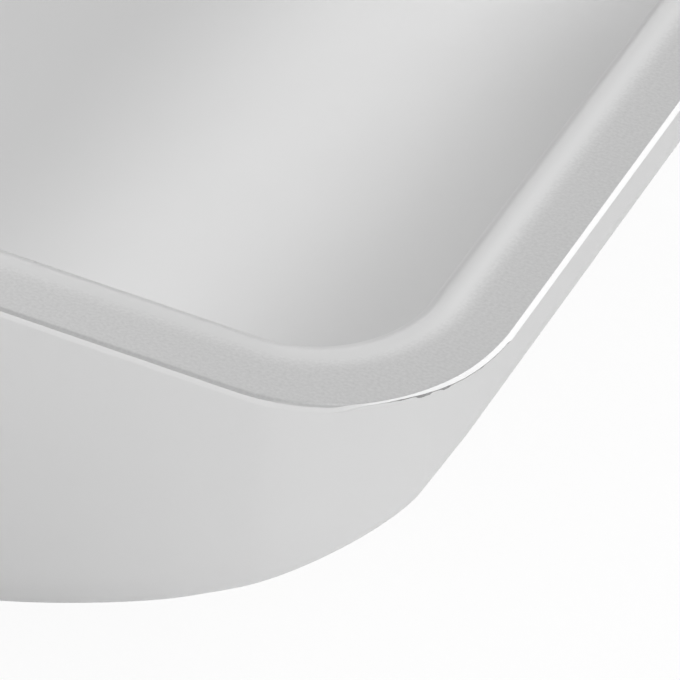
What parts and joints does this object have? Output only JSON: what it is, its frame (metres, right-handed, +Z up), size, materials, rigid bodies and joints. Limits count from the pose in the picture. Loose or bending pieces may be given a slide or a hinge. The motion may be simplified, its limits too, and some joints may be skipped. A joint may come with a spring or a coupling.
{
  "type": "cake pan",
  "caption": "Open-book cake pan drawn from one aluminium sheet, with page-curved basins either side of a spine ridge and a flat rim.",
  "frame": {"origin": "under the middle of the pan, on the surface that its two page crests stand on", "axes": "+X across the two pages, from fore-edge to fore-edge; +Y from the tail of the pages to their head; +Z up, out of the mouth"},
  "size_m": [0.381, 0.292, 0.07],
  "materials": {
    "satin_aluminium": "satin anodised, fine grained, with a bright sheared edge"
  },
  "bodies": {
    "root": {"pan_shell": "satin_aluminium"}
  },
  "joints": []
}
